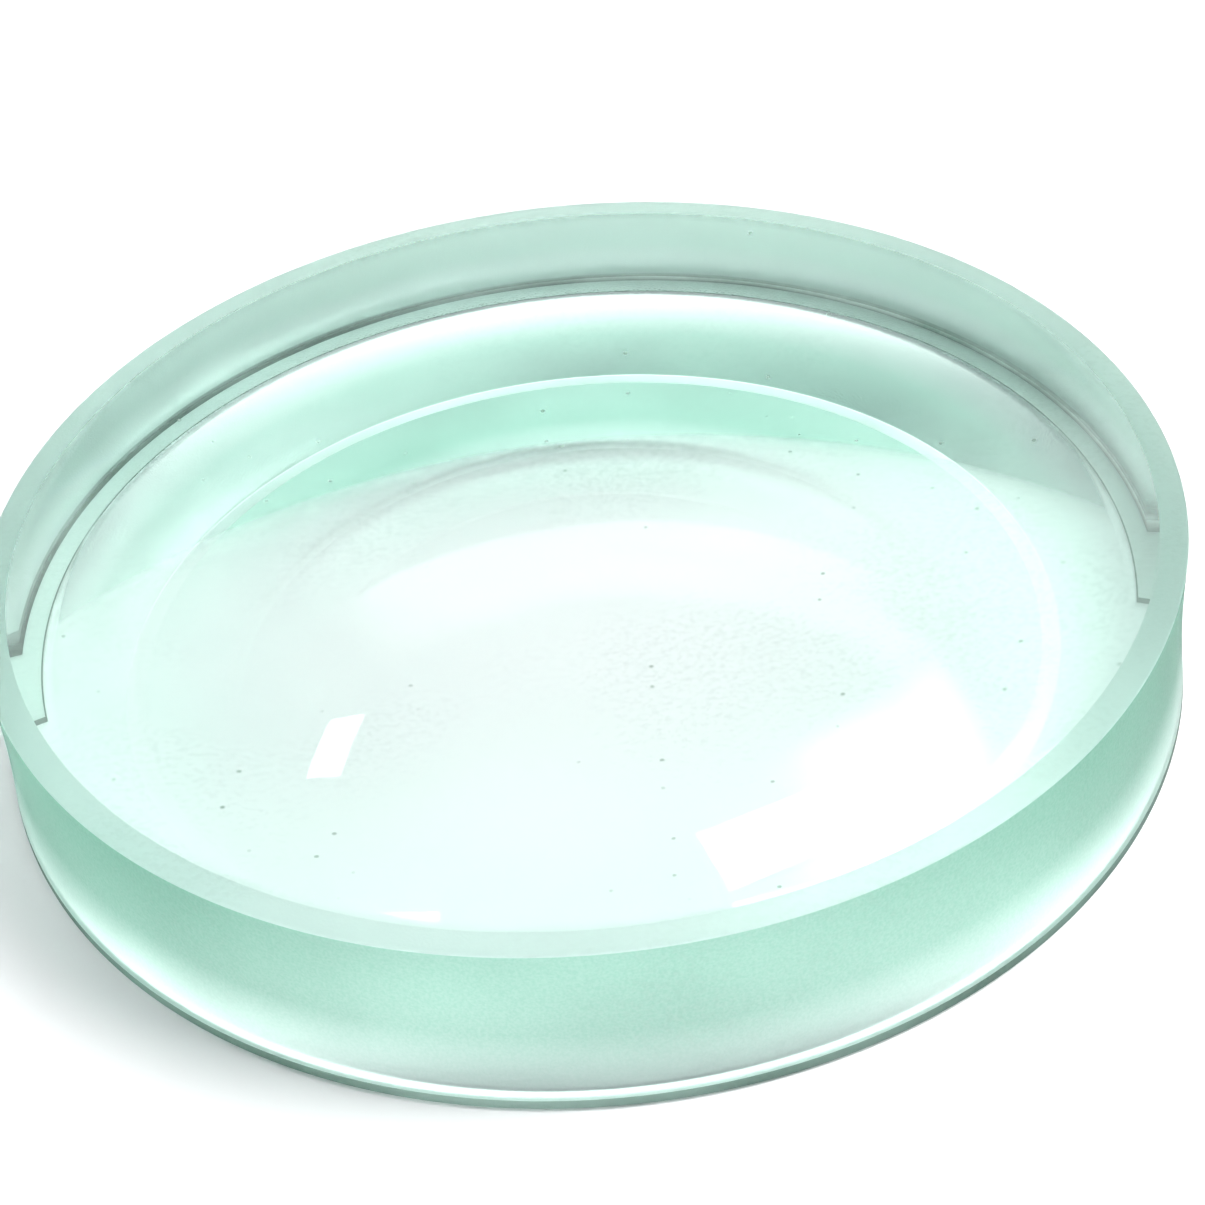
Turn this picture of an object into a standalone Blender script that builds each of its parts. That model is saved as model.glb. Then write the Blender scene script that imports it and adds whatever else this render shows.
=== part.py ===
"""A watch glass: one thick round of clear glass, 75 mm across its foot, with a shallow polished basin in its
top, a matching polished hollow in its underside, and a ground rim, wall and foot ring.

Metres, +Z up. The origin is the centre of the foot ring, on the surface that the glass rests on.
"""

import math

import bmesh
import bpy

# Driving dimensions
FOOT_DIAMETER = 0.075
RIM_DIAMETER = 0.0742
HEIGHT = 0.0117
RIM_WIDTH = 0.0017  # flat ground ring around the basin, with its bevel
FOOT_WIDTH = 0.0017  # flat ground ring around the hollow of the underside, with its bevel
BASIN_DEPTH = 0.0044
HOLLOW_DEPTH = 0.0044
RIM_BEVEL = 0.0001  # the rim's outer corner is only just taken off
FOOT_BEVEL = 0.0003
WAIST_DEPTH = 0.0002  # how far the wall draws in between the rim and the foot

# Resolution
ROUND_STEPS = 96
CAP_RINGS = 10
WALL_RINGS = 6
MERGE_DISTANCE = 0.00001
SHARP_ANGLE = math.radians(30)

RIM_RADIUS = RIM_DIAMETER / 2
FOOT_RADIUS = FOOT_DIAMETER / 2
BASIN_RADIUS = RIM_RADIUS - RIM_WIDTH
HOLLOW_RADIUS = FOOT_RADIUS - FOOT_WIDTH

GLASS_COLOUR = (0.70, 0.90, 0.85, 1.0)
GLASS_ROUGHNESS = 0.1
GLASS_IOR = 1.52


def clear_scene():
    for existing in list(bpy.data.objects):
        bpy.data.objects.remove(existing)


def cap_arc(edge_radius, depth):
    """A spherical cap's half section, as (distance from the axis, rise above its middle), middle to edge."""
    sphere = (edge_radius**2 + depth**2) / (2 * depth)
    half_angle = math.asin(edge_radius / sphere)
    angles = [half_angle * ring / CAP_RINGS for ring in range(CAP_RINGS + 1)]
    return [(sphere * math.sin(angle), sphere * (1 - math.cos(angle))) for angle in angles]


def wall_line():
    """The outer wall from the rim's bevel down to the foot's, spreading to the foot and drawn in at its waist."""
    top = HEIGHT - RIM_BEVEL
    points = []
    for ring in range(WALL_RINGS + 1):
        share = ring / WALL_RINGS
        straight = RIM_RADIUS + (FOOT_RADIUS - RIM_RADIUS) * share
        drawn_in = WAIST_DEPTH * math.sin(math.pi * share)
        points.append((straight - drawn_in, top + (FOOT_BEVEL - top) * share))
    return points


def dish_profile():
    """(x, z) of the half section, from the middle of the basin out over the rim, down the wall and back under."""
    basin = [(x, HEIGHT - BASIN_DEPTH + rise) for x, rise in cap_arc(BASIN_RADIUS, BASIN_DEPTH)]
    rim = [(RIM_RADIUS - RIM_BEVEL, HEIGHT)]
    foot = [(FOOT_RADIUS - FOOT_BEVEL, 0.0)]
    hollow = [(x, HOLLOW_DEPTH - rise) for x, rise in reversed(cap_arc(HOLLOW_RADIUS, HOLLOW_DEPTH))]
    return basin + rim + wall_line() + foot + hollow


def glass_material():
    material = bpy.data.materials.new("watch_glass")
    material.use_nodes = True
    shader = material.node_tree.nodes["Principled BSDF"]
    shader.inputs["Base Color"].default_value = GLASS_COLOUR
    shader.inputs["Metallic"].default_value = 0.0
    shader.inputs["Roughness"].default_value = GLASS_ROUGHNESS
    shader.inputs["IOR"].default_value = GLASS_IOR
    shader.inputs["Transmission Weight"].default_value = 1.0
    return material


def turned(name, profile, material, collection):
    """The profile turned once around Z, as one closed body."""
    outline = bmesh.new()
    vertices = [outline.verts.new((x, 0.0, z)) for x, z in profile]
    for start, end in zip(vertices, vertices[1:]):
        outline.edges.new((start, end))
    mesh = bpy.data.meshes.new(name)
    outline.to_mesh(mesh)
    outline.free()
    mesh.materials.append(material)
    body = bpy.data.objects.new(name, mesh)
    collection.objects.link(body)

    screw = body.modifiers.new("turn", "SCREW")
    screw.axis = "Z"
    screw.angle = math.tau
    screw.steps = ROUND_STEPS
    screw.render_steps = ROUND_STEPS
    screw.use_merge_vertices = True
    screw.merge_threshold = MERGE_DISTANCE
    return body


def keep_turned_mesh(body):
    """Keeps the turned surface as the object's own mesh, shaded smooth except at its ground corners."""
    evaluated = body.evaluated_get(bpy.context.evaluated_depsgraph_get())
    mesh = bpy.data.meshes.new_from_object(evaluated)
    body.modifiers.clear()
    body.data = mesh
    mesh.shade_smooth()
    mesh.set_sharp_from_angle(angle=SHARP_ANGLE)


def main():
    clear_scene()
    collection = bpy.data.collections.new("watch_glass")
    bpy.context.scene.collection.children.link(collection)
    dish = turned("glass_dish", dish_profile(), glass_material(), collection)
    keep_turned_mesh(dish)


main()
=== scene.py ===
"""The looks of the watch glass: one thick round of pale green glass, polished in its basin and its hollow
underside and ground matt round its rim, wall and foot, on white paper in soft light from behind.

Metres, +Z up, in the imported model's own frame. The angles among the named values are in degrees.
"""

import math

import bmesh
import bpy
from mathutils import Matrix, Vector


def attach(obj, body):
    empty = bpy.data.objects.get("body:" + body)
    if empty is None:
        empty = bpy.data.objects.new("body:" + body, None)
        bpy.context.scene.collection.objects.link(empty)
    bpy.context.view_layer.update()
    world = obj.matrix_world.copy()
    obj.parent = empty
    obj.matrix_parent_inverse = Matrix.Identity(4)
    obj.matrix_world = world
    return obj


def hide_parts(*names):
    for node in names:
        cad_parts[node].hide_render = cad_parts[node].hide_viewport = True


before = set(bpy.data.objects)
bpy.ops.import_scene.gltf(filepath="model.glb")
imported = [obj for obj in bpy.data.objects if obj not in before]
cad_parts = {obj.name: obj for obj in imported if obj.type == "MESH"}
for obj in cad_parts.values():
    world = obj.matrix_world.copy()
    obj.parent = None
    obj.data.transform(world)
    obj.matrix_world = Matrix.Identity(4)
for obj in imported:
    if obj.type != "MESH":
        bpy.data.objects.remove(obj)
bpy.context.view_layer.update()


# ---------------------------------------------------------------- the shape

ROUND_STEPS = 288
CAP_RINGS = 48
WALL_RINGS = 24
BEVEL_RINGS = 5
RIM_BEVEL = 0.0001
FOOT_BEVEL = 0.0003
WAIST_DEPTH = 0.0002
EDGE_LINE = 0.0001  # the line where the foot ring meets the hollow, painted dark as contact shade
SAME_PLACE = 1e-6
# the last of the three marks the foot's edge stretches, painted dark as contact shade on the paper
POLISHED, GROUND, CONTACT_SHADE = "polished", "ground", "worn"


def cad_section():
    """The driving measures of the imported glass, read from its own mesh: a body of revolution around Z."""
    points = [vertex.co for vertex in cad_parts["glass_dish"].data.vertices]
    height = max(point.z for point in points)
    top_ring = [math.hypot(p.x, p.y) for p in points if p.z > height - SAME_PLACE]
    foot_ring = [math.hypot(p.x, p.y) for p in points if p.z < SAME_PLACE]
    axis = [p.z for p in points if math.hypot(p.x, p.y) < SAME_PLACE]
    return {
        "height": height,
        "rim_outer": max(top_ring),
        "basin": min(top_ring),
        "foot_outer": max(foot_ring),
        "hollow": min(foot_ring),
        "basin_floor": max(axis),
        "hollow_roof": min(axis),
        "outside": max(math.hypot(p.x, p.y) for p in points),
    }


SECTION = cad_section()


def cap_arc(edge_radius, depth):
    """A spherical cap's half section, as (distance from the axis, rise above its middle), middle to edge."""
    sphere = (edge_radius**2 + depth**2) / (2 * depth)
    half_angle = math.asin(edge_radius / sphere)
    angles = [half_angle * ring / CAP_RINGS for ring in range(CAP_RINGS + 1)]
    return [(sphere * math.sin(angle), sphere * (1 - math.cos(angle))) for angle in angles]


def between(start, end, across, down):
    """The point these shares of the way from start to end, in distance from the axis and in height."""
    return (start[0] + (end[0] - start[0]) * across, start[1] + (end[1] - start[1]) * down)


def wall_line(top, bottom):
    """The ground wall from its upper end almost to its lower one, pulled in by its slight waist."""
    line = []
    for ring in range(WALL_RINGS):
        share = ring / WALL_RINGS
        x, z = between(top, bottom, share, share)
        line.append((x - WAIST_DEPTH * math.sin(math.pi * share), z))
    return line


def bevel_arc(start, end):
    """Points of a quarter ellipse between two ends, both left out, bulging away from the axis."""
    points = []
    for ring in range(1, BEVEL_RINGS):
        angle = math.pi / 2 * ring / BEVEL_RINGS
        if start[0] > end[0]:
            points.append(between(start, end, 1 - math.cos(angle), math.sin(angle)))
        else:
            points.append(between(start, end, math.sin(angle), 1 - math.cos(angle)))
    return points


def profile():
    """The half section from the basin's middle over the rim to the hollow's middle.

    Each row is (distance from the axis, height, finish or painted contact shade of the stretch that follows).
    """
    height = SECTION["height"]
    basin_arc = cap_arc(SECTION["basin"], height - SECTION["basin_floor"])
    hollow_arc = cap_arc(SECTION["hollow"], SECTION["hollow_roof"])
    rim_end = (SECTION["rim_outer"], height)
    wall_top = (SECTION["rim_outer"] + RIM_BEVEL, height - RIM_BEVEL)
    wall_foot = (SECTION["outside"], FOOT_BEVEL)
    foot_end = (SECTION["foot_outer"], 0.0)
    *wall, last_of_wall = wall_line(wall_top, wall_foot)
    rows = [(x, SECTION["basin_floor"] + rise, POLISHED) for x, rise in basin_arc[:-1]]
    rows += [(SECTION["basin"], height, GROUND), (*rim_end, GROUND)]
    rows += [(*point, GROUND) for point in bevel_arc(rim_end, wall_top) + wall]
    # the foot's bevel and the inner edge of the foot ring carry painted contact shade
    rows += [(*point, CONTACT_SHADE) for point in [last_of_wall, wall_foot, *bevel_arc(wall_foot, foot_end)]]
    rows += [(*foot_end, GROUND), (SECTION["hollow"] + EDGE_LINE, 0.0, CONTACT_SHADE)]
    return rows + [(x, SECTION["hollow_roof"] - rise, POLISHED) for x, rise in reversed(hollow_arc)]


def glass_mesh(name, rows):
    """The profile turned around Z, with each finish and the painted contact shade as corner attributes that
    the material reads.
    """
    body = bmesh.new()
    ground = body.loops.layers.float.new("ground")
    worn = body.loops.layers.float.new("worn")
    full_turn = [math.tau * step / ROUND_STEPS for step in range(ROUND_STEPS)]
    rings = []
    for x, z, _ in rows:
        turns = full_turn if x > SAME_PLACE else [0.0]
        rings.append([body.verts.new((x * math.cos(turn), x * math.sin(turn), z)) for turn in turns])
    for upper, lower, (_, _, finish) in zip(rings, rings[1:], rows):
        for step in range(ROUND_STEPS):
            after = (step + 1) % ROUND_STEPS
            if len(upper) == 1:
                corners = (upper[0], lower[step], lower[after])
            elif len(lower) == 1:
                corners = (upper[after], upper[step], lower[0])
            else:
                corners = (upper[after], upper[step], lower[step], lower[after])
            for loop in body.faces.new(corners).loops:
                loop[ground] = float(finish != POLISHED)
                loop[worn] = float(finish == CONTACT_SHADE)
    mesh = bpy.data.meshes.new(name)
    body.to_mesh(mesh)
    body.free()
    mesh.shade_smooth()
    mesh.set_sharp_from_angle(angle=math.radians(30))
    return mesh


# ---------------------------------------------------------------- node helpers

def plug(tree, socket, value):
    """Links a node's output to the socket, or sets a plain value on it."""
    if isinstance(value, bpy.types.NodeSocket):
        tree.links.new(value, socket)
    else:
        socket.default_value = value


def math_node(tree, operation, *inputs):
    node = tree.nodes.new("ShaderNodeMath")
    node.operation = operation
    for socket, value in zip(node.inputs, inputs):
        plug(tree, socket, value)
    return node.outputs["Value"]


def product(tree, first, *others):
    for other in others:
        first = math_node(tree, "MULTIPLY", first, other)
    return first


def ranged(tree, value, low, high, to_low=0.0, to_high=1.0):
    """value's stretch from low to high, mapped to to_low to to_high and held at both ends."""
    node = tree.nodes.new("ShaderNodeMapRange")
    plug(tree, node.inputs["Value"], value)
    plug(tree, node.inputs["From Min"], low)
    plug(tree, node.inputs["From Max"], high)
    plug(tree, node.inputs["To Min"], to_low)
    plug(tree, node.inputs["To Max"], to_high)
    return node.outputs["Result"]


def smooth(tree, value, start, whole):
    """0 up to start, 1 from whole, and a smooth rise between them."""
    result = ranged(tree, value, start, whole)
    result.node.interpolation_type = "SMOOTHSTEP"
    return result


def colour_mix(tree, share, first, second):
    node = tree.nodes.new("ShaderNodeMix")
    node.data_type = "RGBA"
    colours = [socket for socket in node.inputs if socket.type == "RGBA"]
    plug(tree, node.inputs["Factor"], share)
    plug(tree, colours[0], first)
    plug(tree, colours[1], second)
    return next(socket for socket in node.outputs if socket.type == "RGBA")


def place_on_piece(tree):
    return tree.nodes.new("ShaderNodeTexCoord").outputs["Object"]


def noise(tree, size, detail):
    """A noise with features about this size in metres."""
    node = tree.nodes.new("ShaderNodeTexNoise")
    plug(tree, node.inputs["Vector"], place_on_piece(tree))
    plug(tree, node.inputs["Scale"], 1 / size)
    plug(tree, node.inputs["Detail"], detail)
    return node.outputs["Fac"]


def attribute(tree, name):
    node = tree.nodes.new("ShaderNodeAttribute")
    node.attribute_name = name
    return node.outputs["Fac"]


# ---------------------------------------------------------------- the glass

IOR = 1.52
ABSORB_COLOUR = (0.64, 0.95, 0.86, 1.0)
ABSORB_DENSITY = 38.0

CLEAR = (1.0, 1.0, 1.0, 1.0)
GROUND_TINT = (0.26, 0.48, 0.38, 1.0)
# painted contact shade along the foot's edges
CONTACT_SHADE_TINT = (0.05, 0.09, 0.07, 1.0)
DUST_TINT = (0.30, 0.34, 0.30, 1.0)

GROUND_ROUGHNESS = (0.62, 0.78)  # from cloud to cloud over the ground faces
HAZE_ROUGHNESS = 0.05
SPECK_ROUGHNESS = 0.5
# painted light: how much of the ground tint the rim ring's top and the foot keep, so they read lighter
LIT_RIM_TINT_SHARE = 0.0
LIT_FOOT_TINT_SHARE = 0.4
FOOT_ROUGHNESS_SHARE = 0.5
FOOT_FADE = (0.06, 0.48)  # of the height, where the foot's finer grinding and its painted light give way to the wall's

GRAIN_SIZE = 0.00018
GRAIN_STRENGTH = 0.5
GRAIN_HEIGHT = 0.00002
GRAIN_TINT = (0.86, 1.0)
CLOUD_SIZE = 0.016
HAZE_SIZE = 0.0025
FILM_SIZE = 0.0004
FILM_SHARE = 0.12
SPECK_SPACING = 0.005
SPECK_RADIUS = (0.020, 0.035)  # in spacings: whole within the first, gone beyond the second
SPECK_CHANCE = 0.35


def painted_light_and_finish_by_height(tree):
    """(tint share, roughness share): the foot is finer ground than the wall, and as painted light the lower
    wall carries less tint and the rim ring's top none, so both read lighter.
    """
    split = tree.nodes.new("ShaderNodeSeparateXYZ")
    plug(tree, split.inputs["Vector"], place_on_piece(tree))
    z = split.outputs["Z"]
    height = SECTION["height"]
    fade = [share * height for share in FOOT_FADE]
    lit_tint = ranged(tree, z, *fade, LIT_FOOT_TINT_SHARE, 1.0)
    lit_rim = ranged(tree, z, height - RIM_BEVEL, height - RIM_BEVEL / 2, 1.0, LIT_RIM_TINT_SHARE)
    matt = ranged(tree, z, *fade, FOOT_ROUGHNESS_SHARE, 1.0)
    return product(tree, lit_tint, lit_rim), matt


def speck_mask(tree):
    """1 on a few dust specks, each under half a millimetre across, and 0 elsewhere."""
    cells = tree.nodes.new("ShaderNodeTexVoronoi")
    cells.voronoi_dimensions = "2D"
    plug(tree, cells.inputs["Vector"], place_on_piece(tree))
    plug(tree, cells.inputs["Scale"], 1 / SPECK_SPACING)
    near = ranged(tree, cells.outputs["Distance"], *SPECK_RADIUS, 1.0, 0.0)
    split = tree.nodes.new("ShaderNodeSeparateColor")
    plug(tree, split.inputs["Color"], cells.outputs["Color"])
    chosen = math_node(tree, "GREATER_THAN", split.outputs["Red"], 1 - SPECK_CHANCE)
    return product(tree, near, chosen)


def glass_colour(tree, ground, worn, grain, cloud, dust, painted_light_tint_share):
    """Clear where polished, green-grey where ground but paler at the foot and clear on the rim ring as
    painted light, dark on the foot's edge lines as painted contact shade, with dust and a thin film.
    """
    tinted = product(tree, ground, painted_light_tint_share, ranged(tree, grain, 0.3, 0.7, *GRAIN_TINT))
    colour = colour_mix(tree, tinted, CLEAR, GROUND_TINT)
    # painted contact shade on the foot's edge lines, patchy over the cloud
    contact_shade_share = product(tree, worn, ranged(tree, cloud, 0.35, 0.6, 0.75, 1.0))
    colour = colour_mix(tree, contact_shade_share, colour, CONTACT_SHADE_TINT)
    film_grain = ranged(tree, noise(tree, FILM_SIZE, 1), 0.45, 0.65)
    film = product(tree, film_grain, ranged(tree, cloud, 0.45, 0.60, 0.0, FILM_SHARE))
    return colour_mix(tree, math_node(tree, "MAXIMUM", dust, film), colour, DUST_TINT)


def glass_roughness(tree, ground, worn, polished, cloud, dust, roughness_share):
    """Matt where ground, finer at the foot but not on its lines of painted contact shade, and polished with
    faint haze.
    """
    full_or_fine = math_node(tree, "MAXIMUM", roughness_share, worn)
    matt = product(tree, ground, full_or_fine, ranged(tree, cloud, 0.35, 0.65, *GROUND_ROUGHNESS))
    haze = ranged(tree, noise(tree, HAZE_SIZE, 2), 0.50, 0.75, 0.0, HAZE_ROUGHNESS)
    shine = math_node(tree, "MAXIMUM", haze, product(tree, dust, SPECK_ROUGHNESS))
    return math_node(tree, "ADD", matt, product(tree, polished, shine))


def glass_material():
    material = bpy.data.materials.new("watch_glass")
    material.use_nodes = True
    tree = material.node_tree
    shader = tree.nodes["Principled BSDF"]
    shader.inputs["IOR"].default_value = IOR
    shader.inputs["Transmission Weight"].default_value = 1.0
    ground = attribute(tree, "ground")
    worn = attribute(tree, "worn")
    polished = math_node(tree, "SUBTRACT", 1.0, ground)
    grain = noise(tree, GRAIN_SIZE, 1)
    cloud = noise(tree, CLOUD_SIZE, 2)
    dust = product(tree, polished, speck_mask(tree), ranged(tree, cloud, 0.42, 0.58))
    painted_light_tint_share, roughness_share = painted_light_and_finish_by_height(tree)
    colour = glass_colour(tree, ground, worn, grain, cloud, dust, painted_light_tint_share)
    plug(tree, shader.inputs["Base Color"], colour)
    roughness = glass_roughness(tree, ground, worn, polished, cloud, dust, roughness_share)
    plug(tree, shader.inputs["Roughness"], roughness)

    relief = tree.nodes.new("ShaderNodeBump")
    relief.inputs["Strength"].default_value = GRAIN_STRENGTH
    relief.inputs["Distance"].default_value = GRAIN_HEIGHT
    plug(tree, relief.inputs["Height"], product(tree, grain, ground))
    plug(tree, shader.inputs["Normal"], relief.outputs["Normal"])

    absorption = tree.nodes.new("ShaderNodeVolumeAbsorption")
    absorption.inputs["Color"].default_value = ABSORB_COLOUR
    absorption.inputs["Density"].default_value = ABSORB_DENSITY
    plug(tree, tree.nodes["Material Output"].inputs["Volume"], absorption.outputs["Volume"])
    return material


def watch_glass():
    mesh = glass_mesh("watch_glass", profile())
    mesh.materials.append(glass_material())
    glass = bpy.data.objects.new("watch_glass", mesh)
    bpy.context.scene.collection.objects.link(glass)
    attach(glass, "root")
    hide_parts("glass_dish")


watch_glass()


# ---------------------------------------------------------------- the paper

PAPER_RADIUS = 10
PAPER_GAP = 0.00005
PAPER_WHITE = (0.95, 0.95, 0.95, 1)


def paper():
    bpy.ops.mesh.primitive_circle_add(
        vertices=96, radius=PAPER_RADIUS, fill_type="NGON", location=(0, 0, -PAPER_GAP)
    )
    floor = bpy.context.object
    floor.name = "paper"
    material = bpy.data.materials.new("paper")
    material.use_nodes = True
    shader = material.node_tree.nodes["Principled BSDF"]
    shader.inputs["Base Color"].default_value = PAPER_WHITE
    shader.inputs["Roughness"].default_value = 0.9
    shader.inputs["Specular IOR Level"].default_value = 0.2
    floor.data.materials.append(material)


paper()


# ---------------------------------------------------------------- the light

AMBIENT = (0.19, 0.18, 0.21)
# Each bright zone of the studio's walls and ceiling. "around" is the azimuth of its middle from +Y towards +X
# and the half widths within which it is whole and beyond which it ends. "up" is the elevations where it
# starts, is whole from, is whole to and ends.
ZONES = {
    "low_window": {"around": (5, 30, 45), "up": (8, 16, 24, 33), "radiance": 2.6},
    "high_window": {"around": (18, 42, 58), "up": (25, 34, 38, 46), "radiance": 2.0},
    "ceiling": {"around": (0, 179.8, 179.9), "up": (45, 85, None, None), "radiance": 0.8},
    "key": {"around": (92, 18, 34), "up": (28, 40, 58, 70), "radiance": 10.0},
}

PANEL_HEIGHT = 1.0
PANEL_RADIANCE = 10.0
# name: (centre x and y, length, width, turn)
PANELS = {
    "panel_right": ((0.529, -0.022), 0.67, 0.215, 18.9),
    "panel_back_left": ((-0.775, 0.47), 0.27, 0.17, 80),
    "panel_front_left": ((-0.50, -0.24), 0.16, 0.07, 0),
}


def around_window(tree, x, y, z, middle, whole, end):
    """1 where a direction's azimuth is within whole of the middle, falling to 0 at end."""
    flat = math_node(tree, "SQRT", math_node(tree, "SUBTRACT", 1.0, product(tree, z, z)))
    along = math_node(tree, "ADD", product(tree, x, math.sin(math.radians(middle))),
                      product(tree, y, math.cos(math.radians(middle))))
    cosine = math_node(tree, "DIVIDE", along, math_node(tree, "MAXIMUM", flat, 0.001))
    return smooth(tree, cosine, math.cos(math.radians(end)), math.cos(math.radians(whole)))


def up_window(tree, z, start, whole_from, whole_to, end):
    """1 where a direction's elevation is from whole_from to whole_to, falling to 0 at start and at end."""
    rise = smooth(tree, z, math.sin(math.radians(start)), math.sin(math.radians(whole_from)))
    if end is None:
        return rise
    below = product(tree, z, -1.0)
    fall = smooth(tree, below, -math.sin(math.radians(end)), -math.sin(math.radians(whole_to)))
    return product(tree, rise, fall)


def studio():
    world = bpy.data.worlds.new("studio")
    bpy.context.scene.world = world
    world.use_nodes = True
    tree = world.node_tree
    split = tree.nodes.new("ShaderNodeSeparateXYZ")
    direction = tree.nodes.new("ShaderNodeTexCoord").outputs["Generated"]
    plug(tree, split.inputs["Vector"], direction)
    x, y, z = (split.outputs[axis] for axis in "XYZ")
    total = 0.0
    for zone in ZONES.values():
        around = around_window(tree, x, y, z, *zone["around"])
        lit = product(tree, around, up_window(tree, z, *zone["up"]), zone["radiance"])
        total = math_node(tree, "ADD", lit, total)
    colour = tree.nodes.new("ShaderNodeVectorMath")
    colour.operation = "ADD"
    plug(tree, colour.inputs[0], AMBIENT)
    plug(tree, colour.inputs[1], total)
    plug(tree, tree.nodes["Background"].inputs["Color"], colour.outputs["Vector"])


def ceiling_panels():
    for name, ((x, y), length, width, turn) in PANELS.items():
        data = bpy.data.lights.new(name, "AREA")
        data.shape = "RECTANGLE"
        data.size = length
        data.size_y = width
        data.energy = PANEL_RADIANCE * math.pi * length * width
        light = bpy.data.objects.new(name, data)
        light.location = (x, y, PANEL_HEIGHT)
        light.rotation_euler = (0, 0, math.radians(turn))
        bpy.context.scene.collection.objects.link(light)


studio()
ceiling_panels()


# ---------------------------------------------------------------- the camera

CAMERA_DISTANCE = 4.4079  # in radii of the rim, from the middle of the foot plane
CAMERA_ELEVATION = 40.4838
CAMERA_YAW, CAMERA_PITCH, CAMERA_ROLL = 0.3609, 1.1232, 6.2404
SENSOR_WIDTH = 36.0  # millimetres, as the lens
LENS = 75.136


def camera():
    """Looks at the origin from the -Y side, then turns to the right, down and round by its small angles."""
    distance = CAMERA_DISTANCE * (SECTION["rim_outer"] + RIM_BEVEL)
    elevation, yaw, pitch, roll = map(
        math.radians, (CAMERA_ELEVATION, CAMERA_YAW, CAMERA_PITCH, CAMERA_ROLL)
    )
    place = Vector((0, -distance * math.cos(elevation), distance * math.sin(elevation)))
    forward = -place.normalized()
    right = Vector((1, 0, 0))
    up = right.cross(forward)
    right, forward = (
        right * math.cos(yaw) - forward * math.sin(yaw),
        right * math.sin(yaw) + forward * math.cos(yaw),
    )
    up, forward = (
        up * math.cos(pitch) - forward * math.sin(pitch),
        up * math.sin(pitch) + forward * math.cos(pitch),
    )
    right, up = (
        right * math.cos(roll) - up * math.sin(roll),
        right * math.sin(roll) + up * math.cos(roll),
    )
    data = bpy.data.cameras.new("camera")
    data.sensor_width = SENSOR_WIDTH
    data.lens = LENS
    body = bpy.data.objects.new("camera", data)
    body.matrix_world = Matrix.Translation(place) @ Matrix((right, up, -forward)).transposed().to_4x4()
    bpy.context.scene.collection.objects.link(body)
    bpy.context.scene.camera = body


camera()
bpy.context.scene.view_settings.view_transform = "Standard"
